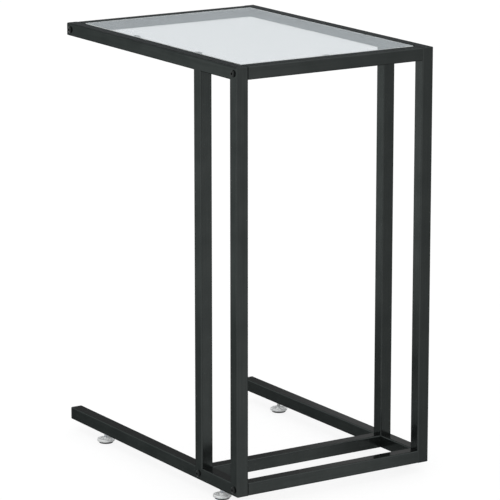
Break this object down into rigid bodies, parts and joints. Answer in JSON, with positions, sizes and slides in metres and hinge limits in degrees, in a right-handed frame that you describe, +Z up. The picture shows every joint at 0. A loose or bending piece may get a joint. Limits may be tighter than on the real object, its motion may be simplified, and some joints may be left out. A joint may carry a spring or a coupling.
{
  "type": "c shaped side table",
  "caption": "C shaped side table: square-tube side frames joined by screwed cross rails, a clear glass top set flush in the top frame, and screw-adjusted levelling feet.",
  "frame": {"origin": "on the floor under the centre of the bounding box", "axes": "+Z up, +X to the right seen from the post side, +Y towards the open end of the C"},
  "size_m": [0.358, 0.504, 0.667],
  "materials": {
    "black_powder_coat": "smooth semi-gloss black powder coat",
    "black_screw_steel": "black oxide, satin",
    "black_plastic": "moulded, fine texture",
    "clear_glass": "clear float glass with ground frosted edges",
    "clear_pad": "clear soft silicone",
    "zinc_plated_steel": "satin zinc plating",
    "pale_grey_plastic": "moulded, satin",
    "dark_rubber": "matt"
  },
  "bodies": {
    "table_frame": {"left_top_rail": "black_powder_coat", "left_outer_post": "black_powder_coat", "left_inner_post": "black_powder_coat", "left_base_rail": "black_powder_coat", "left_top_rail_end_cap": "black_powder_coat", "left_base_rail_end_plug": "black_plastic", "left_frame_screws": "black_screw_steel", "right_top_rail": "black_powder_coat", "right_outer_post": "black_powder_coat", "right_inner_post": "black_powder_coat", "right_base_rail": "black_powder_coat", "right_top_rail_end_cap": "black_powder_coat", "right_base_rail_end_plug": "black_plastic", "right_frame_screws": "black_screw_steel", "top_front_cross_rail": "black_powder_coat", "top_front_cross_rail_thread_blocks": "zinc_plated_steel", "top_rear_cross_rail": "black_powder_coat", "top_rear_cross_rail_thread_blocks": "zinc_plated_steel", "base_front_cross_rail": "black_powder_coat", "base_front_cross_rail_thread_blocks": "zinc_plated_steel", "base_inner_cross_rail": "black_powder_coat", "base_inner_cross_rail_thread_blocks": "zinc_plated_steel", "glass_top": "clear_glass", "left_front_glass_tab": "black_powder_coat", "left_rear_glass_tab": "black_powder_coat", "right_front_glass_tab": "black_powder_coat", "right_rear_glass_tab": "black_powder_coat", "front_middle_glass_tab": "black_powder_coat", "rear_middle_glass_tab": "black_powder_coat", "glass_rest_pads": "clear_pad", "foot_rivet_nuts": "zinc_plated_steel"},
    "left_front_foot": {"left_front_foot_base": "pale_grey_plastic", "left_front_foot_sole": "dark_rubber"},
    "left_front_stud": {"left_front_foot_stud": "zinc_plated_steel"},
    "left_rear_foot": {"left_rear_foot_base": "pale_grey_plastic", "left_rear_foot_sole": "dark_rubber"},
    "left_rear_stud": {"left_rear_foot_stud": "zinc_plated_steel"},
    "right_front_foot": {"right_front_foot_base": "pale_grey_plastic", "right_front_foot_sole": "dark_rubber"},
    "right_front_stud": {"right_front_foot_stud": "zinc_plated_steel"},
    "right_rear_foot": {"right_rear_foot_base": "pale_grey_plastic", "right_rear_foot_sole": "dark_rubber"},
    "right_rear_stud": {"right_rear_foot_stud": "zinc_plated_steel"}
  },
  "joints": [
    {"name": "left_front_foot_height", "type": "slide", "parent": "table_frame", "child": "left_front_foot", "axis": [0, 0, 1], "range_m": [-0.008, 0.0035]},
    {"name": "left_front_stud_turn", "type": "hinge", "parent": "left_front_foot", "child": "left_front_stud", "pos_m": [-0.165, -0.194, 0.017], "axis": [0, 0, 1], "range_deg": [-2881, 1261]},
    {"name": "left_rear_foot_height", "type": "slide", "parent": "table_frame", "child": "left_rear_foot", "axis": [0, 0, 1], "range_m": [-0.008, 0.0035]},
    {"name": "left_rear_stud_turn", "type": "hinge", "parent": "left_rear_foot", "child": "left_rear_stud", "pos_m": [-0.165, 0.156, 0.017], "axis": [0, 0, 1], "range_deg": [-2881, 1261]},
    {"name": "right_front_foot_height", "type": "slide", "parent": "table_frame", "child": "right_front_foot", "axis": [0, 0, 1], "range_m": [-0.008, 0.0035]},
    {"name": "right_front_stud_turn", "type": "hinge", "parent": "right_front_foot", "child": "right_front_stud", "pos_m": [0.165, -0.194, 0.017], "axis": [0, 0, 1], "range_deg": [-2881, 1261]},
    {"name": "right_rear_foot_height", "type": "slide", "parent": "table_frame", "child": "right_rear_foot", "axis": [0, 0, 1], "range_m": [-0.008, 0.0035]},
    {"name": "right_rear_stud_turn", "type": "hinge", "parent": "right_rear_foot", "child": "right_rear_stud", "pos_m": [0.165, 0.156, 0.017], "axis": [0, 0, 1], "range_deg": [-2881, 1261]}
  ],
  "couplings": [
    {"joint": "left_front_stud_turn", "follows": "left_front_foot_height", "rad_per_m": 6283.2},
    {"joint": "left_rear_stud_turn", "follows": "left_rear_foot_height", "rad_per_m": 6283.2},
    {"joint": "right_front_stud_turn", "follows": "right_front_foot_height", "rad_per_m": 6283.2},
    {"joint": "right_rear_stud_turn", "follows": "right_rear_foot_height", "rad_per_m": 6283.2}
  ]
}
